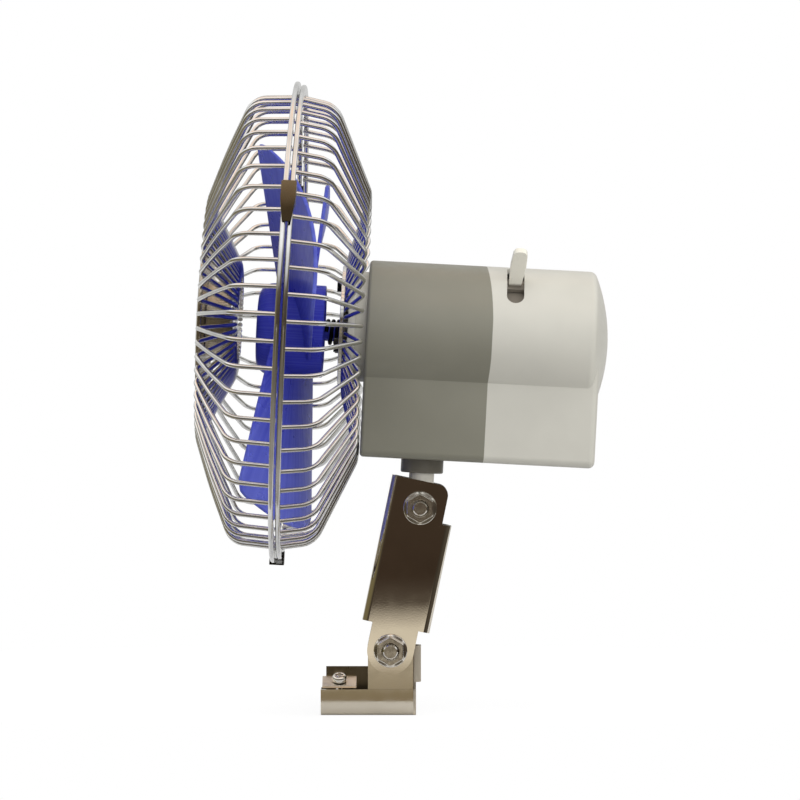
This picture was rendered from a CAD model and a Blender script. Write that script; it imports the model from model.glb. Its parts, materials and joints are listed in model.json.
import json
import math
from collections import namedtuple

import bmesh
import bpy
from mathutils import Matrix, Vector

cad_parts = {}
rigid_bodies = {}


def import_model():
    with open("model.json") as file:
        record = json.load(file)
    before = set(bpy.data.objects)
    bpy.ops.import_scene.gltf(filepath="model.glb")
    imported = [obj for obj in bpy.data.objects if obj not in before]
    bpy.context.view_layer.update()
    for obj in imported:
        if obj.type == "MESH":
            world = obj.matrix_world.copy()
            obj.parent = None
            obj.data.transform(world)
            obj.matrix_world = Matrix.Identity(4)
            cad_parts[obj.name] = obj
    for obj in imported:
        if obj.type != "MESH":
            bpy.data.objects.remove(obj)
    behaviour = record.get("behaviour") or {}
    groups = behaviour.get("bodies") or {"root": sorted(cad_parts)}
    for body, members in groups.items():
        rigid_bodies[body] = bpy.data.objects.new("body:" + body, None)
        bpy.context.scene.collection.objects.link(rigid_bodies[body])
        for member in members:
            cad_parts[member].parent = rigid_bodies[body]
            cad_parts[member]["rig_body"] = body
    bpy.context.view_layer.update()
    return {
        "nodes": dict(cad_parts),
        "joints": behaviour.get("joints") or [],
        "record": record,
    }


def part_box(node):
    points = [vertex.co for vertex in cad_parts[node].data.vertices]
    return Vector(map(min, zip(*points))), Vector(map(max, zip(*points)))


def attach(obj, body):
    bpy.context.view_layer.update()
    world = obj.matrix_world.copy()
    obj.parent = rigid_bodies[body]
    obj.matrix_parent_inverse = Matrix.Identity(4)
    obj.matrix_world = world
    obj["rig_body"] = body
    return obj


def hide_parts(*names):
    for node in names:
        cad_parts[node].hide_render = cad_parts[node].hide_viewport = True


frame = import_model()

bl_info = {
    "name": "Bracket Fan",
    "version": (1, 0, 0),
    "blender": (4, 5, 0),
    "location": "View3D > Sidebar > Fan",
    "description": "Builds the looks of a small oscillating fan around its packed solids",
    "category": "Object",
}

MM = 0.001
JOINTS = {joint["name"]: joint for joint in frame["joints"]}
FORWARD = Vector(JOINTS["blade_spin"]["axis"])
UP_TILT = Vector(JOINTS["oscillate"]["axis"])
TILT = math.atan2(FORWARD.z, -FORWARD.y)


def head_matrix(origin):
    """Matrix from the head's own axes (side, up, forward) to the shared frame."""
    matrix = Matrix((Vector((1, 0, 0)), UP_TILT, FORWARD)).transposed().to_4x4()
    matrix.translation = origin
    return matrix


def middle(node):
    """Middle of a solid's box."""
    low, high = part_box(node)
    return (low + high) / 2


def guard_origin():
    """Centre of the guard, in the plane where its two rings meet."""
    hub = Vector(JOINTS["blade_spin"]["pos_m"])
    rim = middle("front_ring")
    return rim - FORWARD * (rim - hub).dot(FORWARD)


def pivot_matrix(joint):
    """Matrix from a pivot bolt's own axes (up, front, side) to the shared frame."""
    axes = Matrix((Vector((0, 0, 1)), Vector((0, -1, 0)), Vector((1, 0, 0))))
    matrix = axes.transposed().to_4x4()
    matrix.translation = Vector(JOINTS[joint]["pos_m"])
    return matrix


HEAD = head_matrix(Vector(JOINTS["blade_spin"]["pos_m"]))
GUARD = head_matrix(guard_origin())


class FanSizes(bpy.types.PropertyGroup):
    """Sizes of the pieces that are made here."""

    wire_count: bpy.props.IntProperty(
        name="Wires", description="Wires on each side of the guard", default=55, min=8)
    wire_radius: bpy.props.FloatProperty(
        name="Wire radius", description="Half the thickness of a guard wire",
        default=0.9 * MM, unit="LENGTH", precision=5)
    rim_rounding: bpy.props.FloatProperty(
        name="Rim rounding", description="Rounding of the guard rings' edges",
        default=0.76 * MM, unit="LENGTH", precision=5)
    sheet_rounding: bpy.props.FloatProperty(
        name="Sheet rounding", description="Rounding of the sheared edges of the folded steel",
        default=0.22 * MM, unit="LENGTH", precision=5)
    shell_rounding: bpy.props.FloatProperty(
        name="Shell rounding", description="Rounding of the housing's moulded edges",
        default=0.35 * MM, unit="LENGTH", precision=5)
    seam_sweep: bpy.props.FloatProperty(
        name="Seam sweep", description="How far the housing's seam swings back at its sides",
        default=3.2 * MM, unit="LENGTH", precision=5)
    collar_chamfer: bpy.props.FloatProperty(
        name="Collar chamfer", description="Chamfer round the lower end of the collar",
        default=1.2 * MM, unit="LENGTH", precision=5)
    lever_rounding: bpy.props.FloatProperty(
        name="Lever rounding", description="Rounding of the control lever",
        default=1.9 * MM, unit="LENGTH", precision=5)
    blade_rounding: bpy.props.FloatProperty(
        name="Blade rounding", description="Rounding of the paddles' rims",
        default=0.55 * MM, unit="LENGTH", precision=5)
    thread_pitch: bpy.props.FloatProperty(
        name="Thread pitch", description="Pitch of the pivot bolts' thread",
        default=1.0 * MM, unit="LENGTH", precision=5)


COLOUR = {"subtype": "COLOR", "min": 0, "max": 1}


class FanColours(bpy.types.PropertyGroup):
    """Colours of the finishes."""

    grey_shell: bpy.props.FloatVectorProperty(
        name="Grey shell", description="Front half of the housing",
        default=(0.216, 0.209, 0.165), **COLOUR)
    white_shell: bpy.props.FloatVectorProperty(
        name="White shell", description="Rear half of the housing",
        default=(0.585, 0.570, 0.505), **COLOUR)
    blue_blade: bpy.props.FloatVectorProperty(
        name="Blue blade", description="Tinted plastic of the hub and the paddles' roots",
        default=(0.060, 0.072, 0.60), **COLOUR)
    blade_tip: bpy.props.FloatVectorProperty(
        name="Blade tip", description="Tinted plastic where the paddles are thin",
        default=(0.21, 0.25, 0.84), **COLOUR)
    chrome: bpy.props.FloatVectorProperty(
        name="Chrome", description="Plating of the guard",
        default=(0.78, 0.78, 0.77), **COLOUR)
    badge: bpy.props.FloatVectorProperty(
        name="Badge", description="Plating of the bare badge",
        default=(0.50, 0.44, 0.35), **COLOUR)
    nickel: bpy.props.FloatVectorProperty(
        name="Nickel", description="Plating of the arm",
        default=(0.74, 0.68, 0.58), **COLOUR)
    brass_nickel: bpy.props.FloatVectorProperty(
        name="Brassy nickel", description="Plating of the foot and the screw plate",
        default=(0.70, 0.64, 0.53), **COLOUR)
    foot_shade: bpy.props.FloatVectorProperty(
        name="Foot shade", description="Duller plating of the foot's far wall",
        default=(0.135, 0.092, 0.026), **COLOUR)
    zinc: bpy.props.FloatVectorProperty(
        name="Zinc", description="Plating of the nuts, bolts and screw",
        default=(0.78, 0.74, 0.67), **COLOUR)
    nylon: bpy.props.FloatVectorProperty(
        name="Nylon", description="Post between arm and housing",
        default=(0.72, 0.69, 0.61), **COLOUR)
    collar: bpy.props.FloatVectorProperty(
        name="Collar", description="Collar under the housing",
        default=(0.146, 0.134, 0.106), **COLOUR)
    ivory: bpy.props.FloatVectorProperty(
        name="Ivory", description="Control lever",
        default=(0.85, 0.82, 0.71), **COLOUR)
    switch: bpy.props.FloatVectorProperty(
        name="Switch", description="Lever shoe and switch block inside the slot",
        default=(0.200, 0.178, 0.145), **COLOUR)
    clip: bpy.props.FloatVectorProperty(
        name="Clip", description="Rim clips",
        default=(0.19, 0.16, 0.105), **COLOUR)
    clip_shade: bpy.props.FloatVectorProperty(
        name="Clip shade", description="Lower end of the rim clips",
        default=(0.040, 0.031, 0.017), **COLOUR)
    black: bpy.props.FloatVectorProperty(
        name="Black", description="Blackened steel and rubber",
        default=(0.018, 0.018, 0.018), **COLOUR)
    floor: bpy.props.FloatVectorProperty(
        name="Floor", description="Floor and backdrop",
        default=(0.90, 0.90, 0.90), **COLOUR)


FINISHES = {}
PATTERN = (0.3, 0.7)  # part of a noise pattern's range that is used
FULL = (0.0, 1.0)


class NodeWork:
    """A node tree that is being put together."""

    def __init__(self, tree):
        self.nodes, self.links = tree.nodes, tree.links

    def node(self, kind, sockets, **settings):
        """New node whose sockets get a value or the output that feeds them."""
        node = self.nodes.new("ShaderNode" + kind)
        for key, value in settings.items():
            setattr(node, key, value)
        for key, value in sockets.items():
            if isinstance(value, bpy.types.NodeSocket):
                self.links.new(value, node.inputs[key])
            else:
                node.inputs[key].default_value = value
        return node

    def maths(self, operation, *values):
        """A sum on one or two values."""
        node = self.node("Math", dict(enumerate(values)), operation=operation)
        return node.outputs["Value"]

    def span(self, value, low, high, start=0.0, end=1.0):
        """A value spread from one range to another."""
        sockets = {"Value": value, "From Min": low, "From Max": high,
                   "To Min": start, "To Max": end}
        return self.node("MapRange", sockets).outputs["Result"]

    def bands(self, value, colours):
        """Colours that follow a value, each with the place where it is reached."""
        ramp = self.node("ValToRGB", {"Fac": value})
        stops = ramp.color_ramp.elements
        while len(stops) < len(colours):
            stops.new(0.5)
        for stop, (position, colour) in zip(stops, colours):
            stop.position = position
            stop.color = (*colour, 1)
        return ramp.outputs["Color"]


class Finish(NodeWork):
    """The node material of one finish."""

    def __init__(self, name, colour, metallic=0.0):
        material = FINISHES[name] = bpy.data.materials.new("fan_" + name)
        material.use_nodes = True
        super().__init__(material.node_tree)
        self.shader = self.nodes["Principled BSDF"]
        self.colour = Vector(colour)
        self.where = self.nodes.new("ShaderNodeTexCoord").outputs["Object"]
        self.set("Metallic", metallic)

    def set(self, socket, value):
        """Set a value that is the same all over on the shader itself."""
        self.shader.inputs[socket].default_value = value

    def feed(self, socket, output):
        """Link a value that varies over the piece to the shader."""
        self.links.new(output, self.shader.inputs[socket])

    def on_head(self, origin):
        """Coordinates about the fan's axis: y runs to the rear along it."""
        place = -(Matrix.Rotation(TILT, 4, "X") @ origin)
        sockets = {"Vector": self.where, "Location": place, "Rotation": (TILT, 0, 0)}
        return self.node("Mapping", sockets).outputs["Vector"]

    def noise(self, scale, detail):
        """A noise pattern on the piece."""
        sockets = {"Vector": self.where, "Scale": scale, "Detail": detail}
        return self.node("TexNoise", sockets).outputs["Fac"]

    def uneven(self, pattern, start, end):
        """A pattern spread between two values."""
        return self.span(pattern, *PATTERN, start, end)

    def rings(self, scale, origin):
        """Fine turning rings about the fan's axis."""
        sockets = {"Vector": self.on_head(origin), "Scale": scale, "Distortion": 0.6}
        texture = self.node("TexWave", sockets, wave_type="RINGS", rings_direction="Y")
        return texture.outputs["Fac"]

    def rays(self, scale, origin):
        """Streaks that run out from the fan's axis."""
        around = self.on_head(origin)
        angle = self.maths("ARCTAN2", self.axis("X", around), self.axis("Z", around))
        texture = self.node("TexNoise", {"W": angle, "Scale": scale}, noise_dimensions="1D")
        return texture.outputs["Fac"]

    def axis(self, letter, vector=None):
        """One coordinate of the piece."""
        return self.node("SeparateXYZ", {"Vector": vector or self.where}).outputs[letter]

    def reach(self, origin):
        """Distance from the fan's axis."""
        around = self.on_head(origin)
        flat = self.node("CombineXYZ", {"X": self.axis("X", around), "Z": self.axis("Z", around)})
        length = self.node("VectorMath", {0: flat.outputs["Vector"]}, operation="LENGTH")
        return length.outputs["Value"]

    def tones(self, pattern, first, second, ends=PATTERN):
        """Colour that runs between two tones."""
        self.feed("Base Color", self.bands(pattern, tuple(zip(ends, (first, second)))))

    def mottle(self, pattern, dark, light):
        """Colour that varies between a darker and a lighter tone of the finish."""
        bright = [min(1, part * light) for part in self.colour]
        self.tones(pattern, self.colour * dark, bright)

    def gloss(self, pattern, smooth, rough):
        """Roughness that varies over the piece."""
        self.feed("Roughness", self.uneven(pattern, smooth, rough))

    def bump(self, pattern, strength, depth):
        """Fine relief, its depth in mm."""
        sockets = {"Height": pattern, "Strength": strength, "Distance": depth * MM}
        self.feed("Normal", self.node("Bump", sockets).outputs["Normal"])


# Scale and detail of the three noise patterns of a finish, and what they do to it
Grain = namedtuple("Grain", "metallic patches dark light sheen relief strength depth")
PLASTIC = Grain(0.0, (38, 3), 0.96, 1.04, (260, 3), (2600, 2), 0.12, 0.05)
WIRE = Grain(1.0, (80, 4), 0.84, 1.08, (500, 4), (1500, 3), 0.05, 0.03)
SHEET = Grain(1.0, (45, 4), 0.90, 1.06, (160, 5), (1400, 4), 0.02, 0.03)
METAL = Grain(0.9, (180, 4), 0.8, 1.1, (400, 4), (900, 3), 0.08, 0.04)

MARKS = (-0.08, 0.08)  # how far handling marks shift a tone
THINNING = (19 * MM, 80 * MM)  # distances from the axis between which the blade thins
SLOT = (27.6 * MM, 29.2 * MM)  # distances from the axis between which the lever leaves its slot
CLIP_ENDS = (198 * MM, 211 * MM)  # heights of the ends of the clip that faces the viewer
FOOT_SIDES = (-6 * MM, 2 * MM)  # x from the foot's far side to its near side
FOOT_EARS = (6 * MM, 14 * MM)  # y from the foot's low wall to its ears
FOOT_BEND = (17.7 * MM, 18.6 * MM)  # y from the foot's ears to the bend behind them


def grained(kind, name, colour, smooth, rough):
    """Finish with a mottled colour, an uneven gloss and a fine relief."""
    finish = Finish(name, colour, kind.metallic)
    finish.mottle(finish.noise(*kind.patches), kind.dark, kind.light)
    finish.gloss(finish.noise(*kind.sheen), smooth, rough)
    finish.bump(finish.noise(*kind.relief), kind.strength, kind.depth)


def tinted_plastic(name, colour, tip, origin):
    """Clear-tinted plastic: thin paddles let light through, the hub stays deep."""
    finish = Finish(name, colour)
    thin = finish.span(finish.reach(origin), *THINNING, start=0.0, end=0.80)
    streaks = finish.uneven(finish.rays(22, origin), start=-0.12, end=0.22)
    finish.tones(finish.maths("ADD", thin, streaks), colour, tip, FULL)
    finish.gloss(finish.noise(140, 3), smooth=0.26, rough=0.38)
    finish.bump(finish.noise(380, 2), strength=0.05, depth=0.05)
    finish.set("Transmission Weight", 0.34)
    finish.set("Specular IOR Level", 0.1)
    finish.set("IOR", 1.25)


def lever_plastic(name, colour, shoe):
    """Ivory lever, darker where its shoe sits inside the shell."""
    finish = Finish(name, colour)
    outside = finish.span(finish.reach(HEAD.translation), *SLOT)
    finish.tones(outside, shoe, colour, ends=(0.2, 0.9))
    finish.gloss(finish.noise(260, 3), smooth=0.24, rough=0.36)
    finish.bump(finish.noise(1800, 2), strength=0.10, depth=0.05)


def turned_plate(name, colour, origin):
    """Plated disc with fine turning rings."""
    finish = Finish(name, colour, metallic=1.0)
    finish.mottle(finish.noise(60, 4), dark=0.86, light=1.08)
    turned = finish.rings(900, origin)
    finish.gloss(turned, smooth=0.16, rough=0.26)
    finish.bump(turned, strength=0.05, depth=0.02)


def foot_sheet(name, colour, shade):
    """Plated sheet, duller on the low wall away from the nuts and round the rear bend."""
    finish = Finish(name, colour, SHEET.metallic)
    along = finish.axis("Y")
    near = finish.maths(
        "MAXIMUM", finish.span(finish.axis("X"), *FOOT_SIDES), finish.span(along, *FOOT_EARS))
    marks = finish.uneven(finish.noise(*SHEET.patches), *MARKS)
    finish.tones(finish.maths("ADD", near, marks), shade, colour, FULL)
    plain = finish.uneven(finish.noise(*SHEET.sheen), start=0.05, end=0.10)
    wall = finish.span(near, *FULL, start=0.30, end=0.0)
    bend = finish.span(along, *FOOT_BEND, start=0.0, end=0.55)
    finish.feed("Roughness", finish.maths("ADD", finish.maths("ADD", plain, wall), bend))
    finish.bump(finish.noise(*SHEET.relief), strength=0.04, depth=SHEET.depth)


def clip_plate(name, colour, shade):
    """Browned plating, darker at the lower end of the clip that faces the viewer."""
    finish = Finish(name, colour, WIRE.metallic)
    upper = finish.span(finish.axis("Z"), *CLIP_ENDS)
    marks = finish.uneven(finish.noise(*WIRE.patches), *MARKS)
    finish.tones(finish.maths("ADD", upper, marks), shade, colour, FULL)
    finish.gloss(finish.noise(*WIRE.sheen), smooth=0.22, rough=0.34)
    finish.bump(finish.noise(*WIRE.relief), WIRE.strength, WIRE.depth)


def make_finishes():
    """Make all finishes of the fan."""
    colours = bpy.context.scene.fan_colours
    # Kind, name, colour, and roughness from and to
    even = (
        (PLASTIC, "grey_shell", colours.grey_shell, 0.32, 0.44),
        (PLASTIC, "white_shell", colours.white_shell, 0.32, 0.44),
        (PLASTIC, "dark_collar", colours.collar, 0.32, 0.44),
        (PLASTIC, "nylon", colours.nylon, 0.36, 0.5),
        (PLASTIC, "black_rubber", colours.black, 0.55, 0.7),
        (PLASTIC, "inner_black", (0.03, 0.03, 0.03), 0.4, 0.55),
        (PLASTIC, "inner_white", (0.72, 0.72, 0.69), 0.4, 0.55),
        (PLASTIC, "switch_brown", colours.switch, 0.4, 0.55),
        (WIRE, "chrome_wire", colours.chrome, 0.10, 0.22),
        (WIRE, "chrome_rim", colours.chrome, 0.07, 0.15),
        (WIRE, "zinc_fastener", colours.zinc, 0.10, 0.20),
        (SHEET, "nickel_arm", colours.nickel, 0.012, 0.030),
        (SHEET, "nickel_plate", colours.nickel, 0.26, 0.36),
        (METAL, "black_steel", colours.black, 0.30, 0.50),
        (METAL, "motor_steel", (0.50, 0.50, 0.50), 0.30, 0.50),
        (METAL, "bronze", (0.45, 0.28, 0.12), 0.30, 0.50),
        (METAL, "magnet", (0.03, 0.03, 0.032), 0.5, 0.7),
    )
    for finish in even:
        grained(*finish)
    tinted_plastic("blue_blade", colours.blue_blade, colours.blade_tip, HEAD.translation)
    lever_plastic("lever_ivory", colours.ivory, colours.switch)
    turned_plate("chrome_badge", colours.badge, GUARD.translation)
    foot_sheet("nickel_foot", colours.brass_nickel, colours.foot_shade)
    clip_plate("brown_clip", colours.clip, colours.clip_shade)


CORNER = 35  # degrees: an edge that turns further is a corner
WELD, SOLID_WELD = 0.001 * MM, 0.002 * MM
FLAT = math.radians(0.5)


def dress(piece, material, body, replaced):
    """Give a piece its finish, its body and the solids that it stands for."""
    piece.data.materials.clear()
    piece.data.materials.append(FINISHES[material])
    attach(piece, body)
    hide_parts(*replaced)


def body_of(node):
    """Name of the body that a solid belongs to."""
    return frame["nodes"][node]["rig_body"]


def placed(name, mesh, smooth_angle):
    """Object at the origin from a finished mesh, shaded smooth except at its corners."""
    mesh.shade_smooth()
    mesh.set_sharp_from_angle(angle=math.radians(smooth_angle))
    piece = bpy.data.objects.new(name, mesh)
    bpy.context.scene.collection.objects.link(piece)
    return piece


def mesh_piece(name, shape, smooth_angle=CORNER):
    """Object at the origin from a finished bmesh."""
    mesh = bpy.data.meshes.new(name)
    shape.to_mesh(mesh)
    shape.free()
    return placed(name, mesh, smooth_angle)


def add_shape(shape, other):
    """Join a second bmesh to a first one, and free it."""
    mesh = bpy.data.meshes.new("joined")
    other.to_mesh(mesh)
    other.free()
    shape.from_mesh(mesh)
    bpy.data.meshes.remove(mesh)


def rounded(piece, width, segments=3, angle=CORNER):
    """Round a piece's corners with a live bevel."""
    bevel = piece.modifiers.new("Rounding", "BEVEL")
    bevel.width = width
    bevel.segments = segments
    bevel.limit_method = "ANGLE"
    bevel.angle_limit = math.radians(angle)
    bevel.profile = 0.5
    bevel.harden_normals = True
    return piece


def merged_solid(node):
    """A solid's shape again, with its loose triangles joined."""
    shape = bmesh.new()
    shape.from_mesh(frame["nodes"][node].data)
    bmesh.ops.remove_doubles(shape, verts=shape.verts, dist=SOLID_WELD)
    return shape


def rounded_shape(shape, name, width, segments=3, angle=CORNER):
    """Piece with flat faces joined and corners rounded."""
    bmesh.ops.dissolve_limit(shape, angle_limit=FLAT, verts=shape.verts, edges=shape.edges)
    return rounded(mesh_piece(name, shape, angle), width, segments, angle)


def rounded_solid(node, name, width, segments=3):
    """A solid's shape again, with rounded corners."""
    return rounded_shape(merged_solid(node), name, width, segments)


def of_type(parts, kind):
    """Those of the parts that an operator made which are points, or edges."""
    return [part for part in parts if isinstance(part, kind)]


def open_edges(edges):
    """Edges with a face on one side only."""
    return [edge for edge in edges if edge.is_boundary]


def section_points(shape, outline):
    """Points of an outline of (radius, height) in mm, in the xz plane of a shape."""
    return [shape.verts.new((radius * MM, 0, height * MM)) for radius, height in outline]


def spin(shape, geom, angle, steps, closed):
    """Turn an outline or a face round the z axis of a shape."""
    bmesh.ops.spin(
        shape, geom=geom, cent=(0, 0, 0), axis=(0, 0, 1), dvec=(0, 0, 0), angle=angle,
        steps=steps, use_merge=closed)


def spin_outline(shape, outline, steps):
    """Turn an outline all the way round, and close it if it stays off the axis."""
    corners = section_points(shape, outline)
    edges = [shape.edges.new(pair) for pair in zip(corners, corners[1:])]
    if outline[0][0] > 0:
        edges.append(shape.edges.new((corners[-1], corners[0])))
    spin(shape, corners + edges, math.tau, steps, closed=True)
    bmesh.ops.remove_doubles(shape, verts=shape.verts, dist=WELD)
    bmesh.ops.recalc_face_normals(shape, faces=shape.faces)


def spun(name, outline, matrix, steps=160):
    """Piece turned round the z axis of a matrix."""
    shape = bmesh.new()
    spin_outline(shape, outline, steps)
    bmesh.ops.transform(shape, matrix=matrix, verts=shape.verts)
    return mesh_piece(name, shape)


def arc(centre, radius, start, end, steps):
    """Points of an arc, for an outline."""
    angles = [math.radians(start + (end - start) * step / steps) for step in range(steps + 1)]
    return [(centre[0] + radius * math.cos(a), centre[1] + radius * math.sin(a)) for a in angles]


def set_ring(verts, ring):
    """Move the points of a ring to the radius and height that it has at their angle, in mm."""
    for vert in verts:
        angle = math.atan2(vert.co.y, vert.co.x)
        radius, height = ring(angle) if callable(ring) else ring
        vert.co = Vector((math.cos(angle) * radius, math.sin(angle) * radius, height)) * MM


def stacked(rings, segments):
    """Closed shape from a stack of rings about the z axis, each as wide and high as it says."""
    shape = bmesh.new()
    verts = bmesh.ops.create_circle(shape, segments=segments, radius=MM)["verts"]
    edges = shape.edges[:]
    set_ring(verts, rings[0])
    for ring in rings[1:]:
        grown = bmesh.ops.extrude_edge_only(shape, edges=edges)["geom"]
        edges = open_edges(of_type(grown, bmesh.types.BMEdge))
        set_ring(of_type(grown, bmesh.types.BMVert), ring)
    bmesh.ops.remove_doubles(shape, verts=shape.verts, dist=WELD)
    bmesh.ops.holes_fill(shape, edges=open_edges(shape.edges), sides=segments)
    bmesh.ops.recalc_face_normals(shape, faces=shape.faces)
    return shape


# Corners of a guard wire in mm: radius, height, and how far from the corner its bend starts
FRONT_WIRE = ((90.0, 0.3, 0), (88.8, 18.2, 4.5), (68.04, 27.0, 7), (47.97, 34.0, 2.4),
              (22.3, 20.5, 1.6), (17.6, 20.5, 0))
REAR_WIRE = ((90.0, -0.3, 0), (87.4, -14.5, 4.5), (53.01, -29.9, 2.4), (27.8, -22.9, 1.6),
             (20.6, -22.9, 0))
HANDLE = 0.56  # reach of a bend's handles towards its corner
BEND_STEPS, WIRE_SIDES, WIRE_ANGLE = 5, 2, 50


def bent_wire(splines, corners, turn):
    """One guard wire as a spline with rounded bends, turned round the guard's axis."""
    knots = []
    points = [Vector((radius, 0, height)) * MM for radius, height, _ in corners]
    for index, here in enumerate(points):
        reach = corners[index][2] * MM
        if not reach:
            knots.append((here, here, here))
            continue
        before = here + (points[index - 1] - here).normalized() * reach
        after = here + (points[index + 1] - here).normalized() * reach
        knots.append((before, before, before.lerp(here, HANDLE)))
        knots.append((after, after.lerp(here, HANDLE), after))
    spline = splines.new("BEZIER")
    spline.bezier_points.add(len(knots) - 1)
    spline.resolution_u = BEND_STEPS
    for point, (place, left, right) in zip(spline.bezier_points, knots):
        point.handle_left_type = point.handle_right_type = "FREE"
        point.co, point.handle_left, point.handle_right = turn @ place, turn @ left, turn @ right


def round_curve(name, thickness, sides):
    """Empty curve with a round section."""
    curve = bpy.data.curves.new(name, "CURVE")
    curve.dimensions = "3D"
    curve.bevel_depth = thickness
    curve.bevel_resolution = sides
    curve.use_fill_caps = True
    return curve


def curve_piece(name, curve, matrix):
    """Piece with the mesh of a finished curve."""
    holder = bpy.data.objects.new(name + "_curve", curve)
    bpy.context.scene.collection.objects.link(holder)
    bpy.context.view_layer.update()
    mesh = bpy.data.meshes.new_from_object(holder)
    bpy.data.objects.remove(holder)
    mesh.name = name
    mesh.transform(matrix)
    return placed(name, mesh, WIRE_ANGLE)


class FAN_OT_guard_wires(bpy.types.Operator):
    """Bend the wires of both sides of the guard"""

    bl_idname = "fan.guard_wires"
    bl_label = "Guard Wires"

    SIDES = (("front_wires", FRONT_WIRE, 0.7), ("rear_wires", REAR_WIRE, -1.0))

    def execute(self, context):
        sizes = context.scene.fan_sizes
        for node, corners, start in self.SIDES:
            name = "guard_" + node
            curve = round_curve(name, sizes.wire_radius, WIRE_SIDES)
            for index in range(sizes.wire_count):
                angle = math.radians(start) + math.tau * index / sizes.wire_count
                bent_wire(curve.splines, corners, Matrix.Rotation(angle, 4, "Z"))
            piece = curve_piece(name, curve, GUARD)
            dress(piece, "chrome_wire", "head", [node])
        return {"FINISHED"}


class FAN_OT_guard_rings(bpy.types.Operator):
    """Turn the two rim rings and the plates at the wires' inner ends"""

    bl_idname = "fan.guard_rings"
    bl_label = "Guard Rings"

    RINGS = (("front_ring", 96.18, 0.35, 2.25), ("rear_ring", 94.98, -2.25, -0.35))
    INNER, STEPS, SEGMENTS = 90.95, 224, 4
    PLATE_ROUNDING = 0.3

    def execute(self, context):
        sizes = context.scene.fan_sizes
        for node, outer, low, high in self.RINGS:
            outline = [(self.INNER, low), (outer, low), (outer, high), (self.INNER, high)]
            piece = spun("guard_" + node, outline, GUARD, self.STEPS)
            rounded(piece, sizes.rim_rounding, self.SEGMENTS)
            dress(piece, "chrome_rim", "head", [node])
        for node in ("front_hub_plate", "rear_hub_plate"):
            piece = rounded_solid(node, "guard_" + node, self.PLATE_ROUNDING * MM)
            dress(piece, "chrome_rim", "head", [node])
        return {"FINISHED"}


class FAN_OT_badge(bpy.types.Operator):
    """Turn the bare domed badge in the middle of the guard"""

    bl_idname = "fan.badge"
    bl_label = "Front Badge"

    EDGE, RIM, CROWN, UNDER = 41.97, 34.3, 36.5, 32.8
    STEM, STEM_END = 15.0, 22.95
    ROUNDING, STEPS = 0.45, 16

    def execute(self, context):
        rise = self.CROWN - self.RIM
        radius = (self.EDGE * self.EDGE + rise * rise) / (2 * rise)
        tip = math.degrees(math.asin(self.EDGE / radius))
        dome = arc((0, self.CROWN - radius), radius, 90 - tip, 90, self.STEPS)[:-1]
        stem = [(0, self.STEM_END), (self.STEM, self.STEM_END), (self.STEM, self.UNDER)]
        outline = [*stem, (self.EDGE, self.UNDER), *dome, (0, self.CROWN)]
        piece = spun("bare_badge", outline, GUARD)
        rounded(piece, self.ROUNDING * MM)
        dress(piece, "chrome_badge", "head", ["front_badge"])
        return {"FINISHED"}


class FAN_OT_rim_clips(bpy.types.Operator):
    """Fold the tapered clips that hold the rings together"""

    bl_idname = "fan.rim_clips"
    bl_label = "Rim Clips"

    INNER, OUTER, HALF, WALL = 91.55, 96.85, 2.9, 0.6
    COUNT, START, SPAN, STEPS = 3, 21.7, 10.6, 14
    ROUNDING = 0.22
    TAPER, NARROWING = 0.55, 0.42  # share of the clip that tapers, and by how much
    LEG, LEG_LEFT, LEG_RATE = 1.0, 0.4, 1.6  # how the legs shorten towards the lower end

    def execute(self, context):
        shape = bmesh.new()
        for index in range(self.COUNT):
            clip = self.folded()
            angle = math.radians(self.START + 360 / self.COUNT * index)
            turn = Matrix.Rotation(angle, 4, "Z")
            bmesh.ops.transform(clip, matrix=GUARD @ turn, verts=clip.verts)
            add_shape(shape, clip)
        piece = rounded(mesh_piece("folded_clips", shape), self.ROUNDING * MM)
        dress(piece, "brown_clip", "head", ["rim_clips"])
        return {"FINISHED"}

    def folded(self):
        """One clip: a U-shaped strip bent round the rim, narrower at its lower end."""
        clip = bmesh.new()
        low, high, wall = self.HALF - self.WALL, self.HALF, self.OUTER - self.WALL
        leg = [(self.INNER, low), (self.INNER, high), (self.OUTER, high)]
        other_leg = [(radius, -height) for radius, height in reversed(leg)]
        corners = section_points(clip, leg + other_leg + [(wall, -low), (wall, low)])
        face = clip.faces.new(corners)
        geom = corners + list(face.edges) + [face]
        spin(clip, geom, math.radians(self.SPAN), self.STEPS, closed=False)
        bmesh.ops.holes_fill(clip, edges=open_edges(clip.edges))
        for vert in clip.verts:
            angle = math.degrees(math.atan2(vert.co.y, vert.co.x))
            taper = min(1, max(0, 1 - angle / (self.TAPER * self.SPAN)))
            radius = math.hypot(vert.co.x, vert.co.y) / MM
            if radius < wall - self.LEG:
                shorter = wall - self.LEG_LEFT - radius
                grown = 1 + shorter / radius * min(1, taper * self.LEG_RATE)
                vert.co.x, vert.co.y = vert.co.x * grown, vert.co.y * grown
            vert.co.z *= 1 - self.NARROWING * taper
        bmesh.ops.recalc_face_normals(clip, faces=clip.faces)
        return clip


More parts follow.
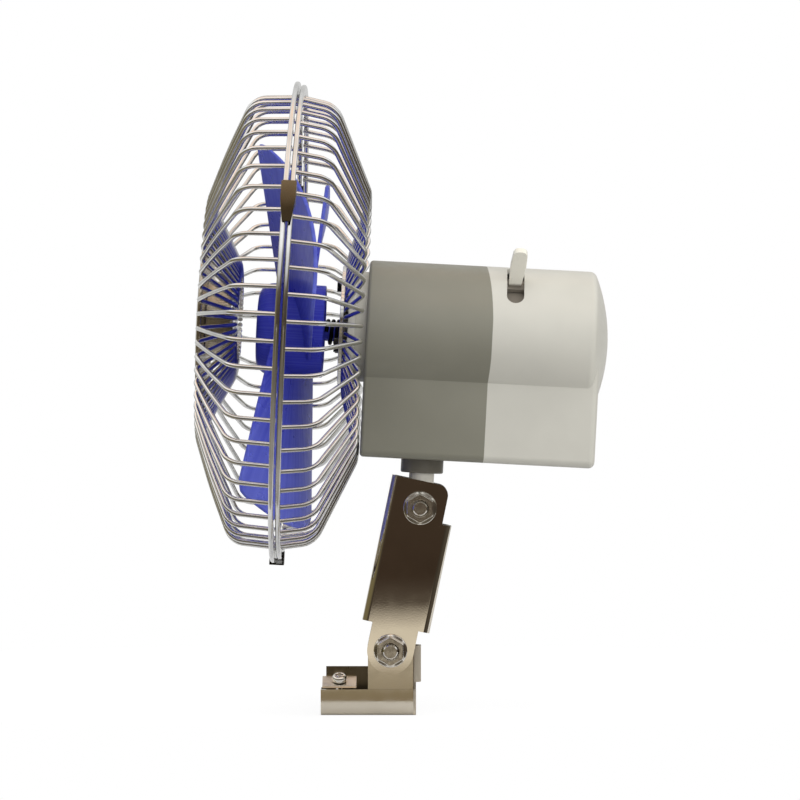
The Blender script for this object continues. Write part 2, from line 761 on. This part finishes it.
class Paddle:
    """Shape of one blade, in mm: the outline that it is cut to and the way it is twisted."""

    AXIS = Vector((0, 0))
    TIP, CORNER, ROOT = 79.0, 5.0, 17.4
    ROOT_HALF, TIP_HALF_ANGLE = 16.56, 30.0
    FRONT, FRONT_GROWTH, REAR, REAR_GROWTH, DISH = 5.0, 12.4, 8.0, 2.7, 8.9
    THICKNESS = 1.6
    COLUMNS, ROWS = 40, 36

    def __init__(self):
        half = math.radians(self.TIP_HALF_ANGLE)
        self.growth = (self.TIP * math.sin(half) - self.ROOT_HALF) / (self.TIP * math.cos(half))
        self.apex = Vector((-self.ROOT_HALF / self.growth, 0))
        self.flare = math.atan(self.growth)
        side = Vector((math.cos(self.flare), math.sin(self.flare)))
        base = self.apex + self.CORNER * Vector((side.y, -side.x))
        self.corner = base + side * self.reach(base, side, self.AXIS, self.TIP - self.CORNER)

    @staticmethod
    def reach(start, along, centre, radius):
        """How far a ray goes before it leaves a circle."""
        offset = start - centre
        lead = offset.dot(along)
        return -lead + math.sqrt(max(0, lead * lead - offset.length_squared + radius * radius))

    def point(self, share, turn):
        """Point of the upper face: share from hub to tip, turn from rear edge to front edge."""
        angle = turn * self.flare
        along = Vector((math.cos(angle), math.sin(angle)))
        inner = self.reach(self.apex, along, self.AXIS, self.ROOT)
        outer = self.reach(self.apex, along, self.AXIS, self.TIP)
        end = self.apex + along * outer
        if abs(end.y / end.x) > self.corner.y / self.corner.x:
            corner = Vector((self.corner.x, math.copysign(self.corner.y, turn)))
            outer = self.reach(self.apex, along, corner, self.CORNER)
        x, y = self.apex + along * (inner + (outer - inner) * share)
        return Vector((x, y, self.height(x, y)))

    def height(self, x, y):
        """Height of the twisted, dished face."""
        share = x / self.TIP
        across = y / (self.ROOT_HALF + self.growth * x)
        front = self.FRONT + self.FRONT_GROWTH * share
        rear = self.REAR + self.REAR_GROWTH * share
        dish = self.DISH * share
        return (front - rear) / 2 - dish + (front + rear) / 2 * across + dish * across ** 2

    def build(self, matrix):
        """The paddle as a closed shape."""
        shape = bmesh.new()
        bmesh.ops.create_grid(shape, x_segments=self.COLUMNS, y_segments=self.ROWS, size=1)
        for vert in shape.verts:
            vert.co = self.point((vert.co.x + 1) / 2, vert.co.y) * MM
        below = bmesh.ops.extrude_face_region(shape, geom=shape.faces[:])["geom"]
        verts = of_type(below, bmesh.types.BMVert)
        bmesh.ops.translate(shape, verts=verts, vec=(0, 0, -self.THICKNESS * MM))
        bmesh.ops.recalc_face_normals(shape, faces=shape.faces)
        bmesh.ops.transform(shape, matrix=matrix, verts=shape.verts)
        return shape


# Half section of the hub and its boss: radius and height in mm
HUB_OUTLINE = [(0, 12.6), *arc((12.4, 6.6), 6.0, 90, 0, 8), (18.4, -14.2), (16.4, -14.2),
               (16.4, 6.6), (3.6, 6.6), (3.6, -20.6), (2.025, -20.6), (2.025, 10.6), (0, 10.6)]


class FAN_OT_blades(bpy.types.Operator):
    """Make the hub and its three twisted paddles"""

    bl_idname = "fan.blades"
    bl_label = "Fan Blades"

    COUNT, START, HUB_STEPS = 3, 36.5, 96

    def execute(self, context):
        sizes = context.scene.fan_sizes
        shape = bmesh.new()
        spin_outline(shape, HUB_OUTLINE, self.HUB_STEPS)
        paddle = Paddle()
        for index in range(self.COUNT):
            angle = math.radians(self.START + 360 / self.COUNT * index)
            add_shape(shape, paddle.build(Matrix.Rotation(angle, 4, "Z")))
        bmesh.ops.transform(shape, matrix=HEAD, verts=shape.verts)
        piece = rounded(mesh_piece("tinted_blades", shape), sizes.blade_rounding)
        dress(piece, "blue_blade", "rotor", ["fan_blade"])
        return {"FINISHED"}


class FAN_OT_hub_spring(bpy.types.Operator):
    """Wind the wire clip on the hub's rear boss"""

    bl_idname = "fan.hub_spring"
    bl_label = "Hub Spring"

    TURNS, STEPS, SIDES = 2.5, 16, 3
    PITCH, RADIUS, WIRE, START = 2.1, 4.55, 0.8, -15.05

    def execute(self, context):
        curve = round_curve("wound_clip", self.WIRE * MM, self.SIDES)
        spline = curve.splines.new("NURBS")
        spline.points.add(int(self.TURNS * self.STEPS))
        for index, point in enumerate(spline.points):
            turns = index / self.STEPS
            x, y = math.cos(math.tau * turns), math.sin(math.tau * turns)
            place = (self.RADIUS * x, self.RADIUS * y, self.START - self.PITCH * turns)
            point.co = (*(Vector(place) * MM), 1)
        spline.order_u = 3
        spline.use_endpoint_u = True
        piece = curve_piece("wound_clip", curve, HEAD)
        dress(piece, "black_steel", "rotor", ["hub_spring"])
        return {"FINISHED"}


class FAN_OT_housing(bpy.types.Operator):
    """Finish the two halves of the housing, the collar, the guard mount and the grommet"""

    bl_idname = "fan.housing"
    bl_label = "Housing"

    PIECES = (("front_housing", "grey_shell"), ("rear_housing", "white_shell"),
              ("guard_mount", "white_shell"), ("neck_collar", "dark_collar"),
              ("cord_grommet", "black_rubber"))
    CORNER, SEGMENTS, CHAMFER_SEGMENTS = 28, 3, 1
    SEAM, SEAM_NEAR, HALF_WIDTH = 79.0, 0.05, 28.5
    BOW, AHEAD = 1.5, 0.5  # power of the seam's curve, share of its sweep that goes forward

    def execute(self, context):
        sizes = context.scene.fan_sizes
        for node, material in self.PIECES:
            shape = merged_solid(node)
            self.sweep_seam(shape, sizes)
            width, segments = sizes.shell_rounding, self.SEGMENTS
            if node == "neck_collar":
                width, segments = sizes.collar_chamfer, self.CHAMFER_SEGMENTS
            piece = rounded_shape(shape, "moulded_" + node, width, segments, self.CORNER)
            dress(piece, material, "head", [node])
        return {"FINISHED"}

    def sweep_seam(self, shape, sizes):
        """Swing the seam between the halves back at the sides and forward at the top."""
        for vert in shape.verts:
            local = HEAD.inverted() @ vert.co
            if abs(local.z + self.SEAM * MM) < self.SEAM_NEAR * MM:
                side = min(1, abs(local.x) / (self.HALF_WIDTH * MM))
                local.z -= sizes.seam_sweep * (side ** self.BOW - self.AHEAD)
                vert.co = HEAD @ local


class FAN_OT_lever(bpy.types.Operator):
    """Round the control lever"""

    bl_idname = "fan.lever"
    bl_label = "Control Lever"

    SEGMENTS = 4

    def execute(self, context):
        rounding = context.scene.fan_sizes.lever_rounding
        piece = rounded_solid("control_lever", "moulded_lever", rounding, self.SEGMENTS)
        dress(piece, "lever_ivory", "lever", ["control_lever"])
        return {"FINISHED"}


class FAN_OT_bracket(bpy.types.Operator):
    """Finish the folded arm, the foot, the screw plate and the post"""

    bl_idname = "fan.bracket"
    bl_label = "Bracket"

    PIECES = (("bracket_arm", "nickel_arm", "plated_steel"),
              ("channel_foot", "nickel_foot", "plated_steel"),
              ("screw_plate", "nickel_plate", "plated_steel"),
              ("pivot_post", "nylon", "nylon"))
    LIP_TOP, LIP_STEP, WALL, FACING = 10.5, 0.6, 3.0, 0.02
    FLAT_AREA, FLAT_TOP = 60, 11.5

    def execute(self, context):
        sizes = context.scene.fan_sizes
        for node, material, slot in self.PIECES:
            shape = merged_solid(node)
            if node == "channel_foot":
                self.step_lip(shape)
            piece = rounded_shape(shape, "folded_" + node, sizes.sheet_rounding)
            if node == "bracket_arm":
                piece.modifiers.new("Flat faces", "WEIGHTED_NORMAL").keep_sharp = True
            if node == "channel_foot":
                self.part_flats(piece.data)
            dress(piece, material, body_of(node), [node])
        return {"FINISHED"}

    def part_flats(self, mesh):
        """Keep the shading of the flats above the lip apart from the bends beside them."""
        shape = bmesh.new()
        shape.from_mesh(mesh)
        for face in shape.faces:
            top = max(vert.co.z for vert in face.verts)
            if face.calc_area() > self.FLAT_AREA * MM * MM and top > self.FLAT_TOP * MM:
                for edge in face.edges:
                    edge.smooth = False
        shape.to_mesh(mesh)
        shape.free()

    def step_lip(self, shape):
        """Stand the near wall of the foot a little proud of the ear above it."""
        top = self.LIP_TOP * MM
        geom = shape.verts[:] + shape.edges[:] + shape.faces[:]
        bmesh.ops.bisect_plane(shape, geom=geom, plane_co=(0, 0, top), plane_no=(0, 0, 1))
        shape.normal_update()
        lip = []
        for face in shape.faces:
            centre = face.calc_center_median()
            if face.normal.x > self.FACING and centre.x > self.WALL * MM and centre.z < top:
                lip.append(face)
        grown = bmesh.ops.extrude_face_region(shape, geom=lip)["geom"]
        verts = of_type(grown, bmesh.types.BMVert)
        bmesh.ops.translate(shape, verts=verts, vec=(self.LIP_STEP * MM, 0, 0))


def hexagon(flats, angle):
    """Radius of a hexagon that points up, at an angle."""
    sector = math.pi / 3
    return flats / 2 / math.cos((angle % sector) - sector / 2)


class FAN_OT_fasteners(bpy.types.Operator):
    """Turn the pivot bolts and the flange nuts, and finish the clamping screw"""

    bl_idname = "fan.fasteners"
    bl_label = "Fasteners"

    SEGMENTS, CORNER, ROUNDING, ROUNDING_STEPS = 72, 28, 0.12, 2
    SCREW_ROUNDING = 0.25
    FLATS, ROUND, BREAK, FALL = 10.4, 5.6, 0.22, 0.5  # hexagon, and how its corners are turned
    SEAT, TOP, HEAD_TOP, END, SHANK = 6.55, 11.9, 10.5, 13.2, 3.0
    FLANGE, BORE, LEAD_IN = 6.7, 3.06, 0.45
    FLANGE_EDGE = ((-0.2, 0.0), (0.0, 0.2), (0.0, 0.65), (-0.25, 0.9))  # past it, above the seat
    SKIRT, SKIRT_HEIGHT = 0.05, 1.1
    THREAD_FROM, THREAD_GAP, THREAD_DEPTH, THREAD_STEPS = 10.0, 0.1, 0.28, 10
    RUN_OUT, CREST, POINT = 0.6, 0.05, 0.5

    def execute(self, context):
        sizes = context.scene.fan_sizes
        for end, joint in (("lower", "arm_tilt"), ("upper", "head_tilt")):
            for kind, rings in (("_nut", self.nut_rings()), ("_bolt", self.bolt_rings(sizes))):
                node = end + kind
                shape = stacked(rings, self.SEGMENTS)
                bmesh.ops.transform(shape, matrix=pivot_matrix(joint), verts=shape.verts)
                piece = mesh_piece("plated_" + node, shape, self.CORNER)
                rounded(piece, self.ROUNDING * MM, self.ROUNDING_STEPS)
                dress(piece, "zinc_fastener", body_of(node), [node])
        piece = rounded_solid("clamp_screw", "plated_clamp_screw", self.SCREW_ROUNDING * MM)
        dress(piece, "zinc_fastener", body_of("clamp_screw"), ["clamp_screw"])
        return {"FINISHED"}

    def crown(self, top, side=1):
        """Edge and face of a hexagon whose corners are turned down, on one side or the other."""
        def edge(angle):
            radius = hexagon(self.FLATS, angle)
            return radius, side * (top - self.BREAK - self.FALL * max(0, radius - self.ROUND))

        def face(angle):
            return min(hexagon(self.FLATS, angle) - self.BREAK, self.ROUND), side * top

        return edge, face

    def nut_rings(self):
        """Flange, chamfered hexagon and bore of a flange nut."""
        def skirt(angle):
            return hexagon(self.FLATS, angle) + self.SKIRT, self.SEAT + self.SKIRT_HEIGHT

        seat, top, bore = self.SEAT, self.TOP, self.BORE
        flange = [(self.FLANGE + out, seat + above) for out, above in self.FLANGE_EDGE]
        return [(bore, seat), *flange, skirt, *self.crown(top), (bore + self.LEAD_IN, top),
                (bore, top - self.LEAD_IN), (bore, seat)]

    def bolt_rings(self, sizes):
        """Chamfered head on the far side, shank, and a threaded end that stands out of the nut."""
        def under_head(angle):
            return hexagon(self.FLATS, angle), -self.SEAT

        edge, face = self.crown(self.HEAD_TOP, side=-1)
        end, shank = self.END, self.SHANK
        rings = [face, edge, under_head, (shank, -self.SEAT), (shank, self.THREAD_FROM)]
        pitch = sizes.thread_pitch / MM
        start = self.THREAD_FROM + self.THREAD_GAP
        count = round((end - self.RUN_OUT - start) / pitch * self.THREAD_STEPS)
        for index in range(count + 1):
            rings.append(self.thread(start + index * pitch / self.THREAD_STEPS, pitch))
        return rings + [(shank - self.CREST, end - self.POINT), (shank - self.POINT, end)]

    def thread(self, height, pitch):
        """Ring that cuts a vee groove as it climbs."""
        def ring(angle):
            phase = (height / pitch - angle / math.tau) % 1
            return self.SHANK - self.THREAD_DEPTH * (1 - abs(2 * phase - 1)), height
        return ring


class FAN_OT_inner_parts(bpy.types.Operator):
    """Give every solid that still shows itself a finish of its own"""

    bl_idname = "fan.inner_parts"
    bl_label = "Inner Parts"

    def execute(self, context):
        make_finishes()
        inside = {"plated_steel": "nickel_foot"}
        slots = {part["node"]: part["material_slot"] for part in frame["record"]["subparts"]}
        for node, solid in frame["nodes"].items():
            slot = "switch_brown" if node == "switch_block" else slots[node]
            solid.data.materials.clear()
            solid.data.materials.append(FINISHES[inside.get(slot, slot)])
        return {"FINISHED"}


class Surround(NodeWork):
    """Node tree of the world: white to the camera, a room with a window to the metal."""

    # Bands of the room, from straight down (0) to straight up (1)
    ABOVE = ((0.62, (0.12, 0.095, 0.07)), (0.70, (0.80, 0.80, 0.80)), (0.84, (1.15, 1.15, 1.15)),
             (0.93, (1.25, 0.92, 0.70)), (1.0, (1.0, 0.92, 0.84)))
    TAN, LIGHT, DARK = (0.29, 0.24, 0.16), (0.86, 0.80, 0.68), (0.052, 0.035, 0.024)
    FRONT = ((0.0, (0.40, 0.37, 0.32)), (0.450, TAN), (0.4572, TAN), (0.4592, LIGHT),
             (0.4653, LIGHT), (0.4690, DARK), *ABOVE)
    RIGHT = ((0.0, (0.36, 0.34, 0.30)), (0.30, (0.13, 0.115, 0.09)),
             (0.46, (0.050, 0.040, 0.030)), *ABOVE)
    LEFT = ((0.0, (0.36, 0.34, 0.30)), (0.36, (0.20, 0.17, 0.10)), (0.47, (0.17, 0.145, 0.075)),
            (0.61, (0.22, 0.19, 0.105)), *ABOVE[1:])
    SOFT = ((0.0, (0.30, 0.30, 0.30)), (0.5, (0.42, 0.42, 0.42)), (1.0, (0.56, 0.56, 0.56)))
    WHITE, PALE = (1, 1, 1, 1), (0.66, 0.66, 0.65, 1)

    # Directions between which one wall of the room gives way to the next
    NEAR, RIGHTWARD = (-0.85, -0.45), (-0.70, -0.30)
    AHEAD, ASIDE = (0.90, 0.97), (0.075, 0.045)

    def __init__(self, world):
        world.use_nodes = True
        super().__init__(world.node_tree)
        path = self.nodes.new("ShaderNodeLightPath").outputs
        where = self.nodes.new("ShaderNodeTexCoord").outputs["Generated"]
        along = self.node("SeparateXYZ", {"Vector": where}).outputs
        height = self.span(along["Z"], -1, 1)
        aside = self.span(self.maths("ABSOLUTE", along["Y"]), *self.ASIDE)
        ahead = self.maths("MULTIPLY", self.span(along["X"], *self.AHEAD), aside)
        right = self.span(along["Y"], *self.RIGHTWARD)
        sides = self.mix(right, self.bands(height, self.LEFT), self.bands(height, self.RIGHT))
        room = self.mix(ahead, sides, self.bands(height, self.FRONT))
        mirrored = self.mix(self.span(along["X"], *self.NEAR), self.PALE, room)
        lit = self.mix(path["Is Glossy Ray"], self.bands(height, self.SOFT), mirrored)
        clear = self.mix(path["Is Transmission Ray"], lit, self.WHITE)
        shown = self.mix(path["Is Camera Ray"], clear, self.WHITE)
        self.links.new(shown, self.nodes["Background"].inputs["Color"])

    def mix(self, share, first, second):
        """One colour or the other."""
        return self.node("Mix", {0: share, 6: first, 7: second}, data_type="RGBA").outputs[2]


class FAN_OT_stage(bpy.types.Operator):
    """Set the floor, the light and the camera"""

    bl_idname = "fan.stage"
    bl_label = "Stage"

    LAMPS = (("key", (0.45, -0.15, 1.35), 1.0, 7.3), ("fill", (1.2, 0.35, 0.32), 0.9, 6.3),
             ("rear", (0.35, 1.15, 0.35), 0.7, 3.8))
    AIM = Vector((0, 0, 0.12))
    FLOOR_HALF, FLOOR_PLACE, FLOOR_SIDES = (0.205, 0.34, 1), (-0.155, 0, 0), 128
    FLOOR_ROUGHNESS, GLOW, GLOW_SHARE = 0.9, 1.1, 0.80
    LENS, SENSOR, EYE = 146.25, 36, (1.3, 12.6 * MM, 125.8 * MM)

    def execute(self, context):
        self.floor(context)
        context.scene.world = bpy.data.worlds.new("studio")
        Surround(context.scene.world)
        for lamp in self.LAMPS:
            self.lamp(context, *lamp)
        self.camera(context)
        context.scene.view_settings.view_transform = "Standard"
        return {"FINISHED"}

    def floor(self, context):
        """Floor that stays white to the camera and keeps a faint shadow."""
        shape = bmesh.new()
        bmesh.ops.create_circle(shape, cap_ends=True, segments=self.FLOOR_SIDES, radius=1)
        bmesh.ops.scale(shape, vec=self.FLOOR_HALF, verts=shape.verts)
        bmesh.ops.translate(shape, vec=self.FLOOR_PLACE, verts=shape.verts)
        piece = mesh_piece("floor", shape)
        material = bpy.data.materials.new("floor_white")
        material.use_nodes = True
        work = NodeWork(material.node_tree)
        shader = work.nodes["Principled BSDF"]
        shader.inputs["Base Color"].default_value = (*context.scene.fan_colours.floor, 1)
        shader.inputs["Roughness"].default_value = self.FLOOR_ROUGHNESS
        seen = work.nodes.new("ShaderNodeLightPath").outputs["Is Camera Ray"]
        share = work.maths("MULTIPLY", seen, self.GLOW_SHARE)
        glow = work.node("Emission", {"Strength": self.GLOW}).outputs["Emission"]
        mix = work.node("MixShader", {"Fac": share, 1: shader.outputs["BSDF"], 2: glow})
        work.links.new(mix.outputs["Shader"], work.nodes["Material Output"].inputs["Surface"])
        piece.data.materials.append(material)

    def lamp(self, context, name, place, size, power):
        """Soft square lamp turned to the fan."""
        light = bpy.data.lights.new(name, "AREA")
        light.size = size
        light.energy = power
        lamp = bpy.data.objects.new(name, light)
        lamp.location = place
        aim = self.AIM - Vector(place)
        lamp.rotation_euler = aim.to_track_quat("-Z", "Y").to_euler()
        lamp.visible_glossy = False
        context.scene.collection.objects.link(lamp)

    def camera(self, context):
        """Level camera square to the fan's side."""
        view = bpy.data.cameras.new("side_view")
        view.lens = self.LENS
        view.sensor_width = self.SENSOR
        camera = bpy.data.objects.new("side_view", view)
        camera.location = self.EYE
        camera.rotation_euler = (math.radians(90), 0, math.radians(90))
        context.scene.collection.objects.link(camera)
        context.scene.camera = camera


OPERATORS = (
    FAN_OT_inner_parts, FAN_OT_guard_wires, FAN_OT_guard_rings, FAN_OT_badge, FAN_OT_rim_clips,
    FAN_OT_blades, FAN_OT_hub_spring, FAN_OT_housing, FAN_OT_lever, FAN_OT_bracket,
    FAN_OT_fasteners, FAN_OT_stage,
)


class FAN_PT_panel(bpy.types.Panel):
    """Lists the steps that make the fan"""

    bl_idname = "FAN_PT_panel"
    bl_label = "Fan"
    bl_space_type = "VIEW_3D"
    bl_region_type = "UI"
    bl_category = "Fan"

    def draw(self, context):
        for group in (context.scene.fan_sizes, context.scene.fan_colours):
            for name in group.__annotations__:
                self.layout.prop(group, name)
        for operator in OPERATORS:
            self.layout.operator(operator.bl_idname)


CLASSES = (FanSizes, FanColours, *OPERATORS, FAN_PT_panel)


def register():
    for cls in CLASSES:
        bpy.utils.register_class(cls)
    bpy.types.Scene.fan_sizes = bpy.props.PointerProperty(type=FanSizes)
    bpy.types.Scene.fan_colours = bpy.props.PointerProperty(type=FanColours)


def unregister():
    del bpy.types.Scene.fan_colours
    del bpy.types.Scene.fan_sizes
    for cls in reversed(CLASSES):
        bpy.utils.unregister_class(cls)


def main():
    register()
    for operator in OPERATORS:
        group, name = operator.bl_idname.split(".")
        getattr(getattr(bpy.ops, group), name)()


if __name__ == "__main__":
    main()
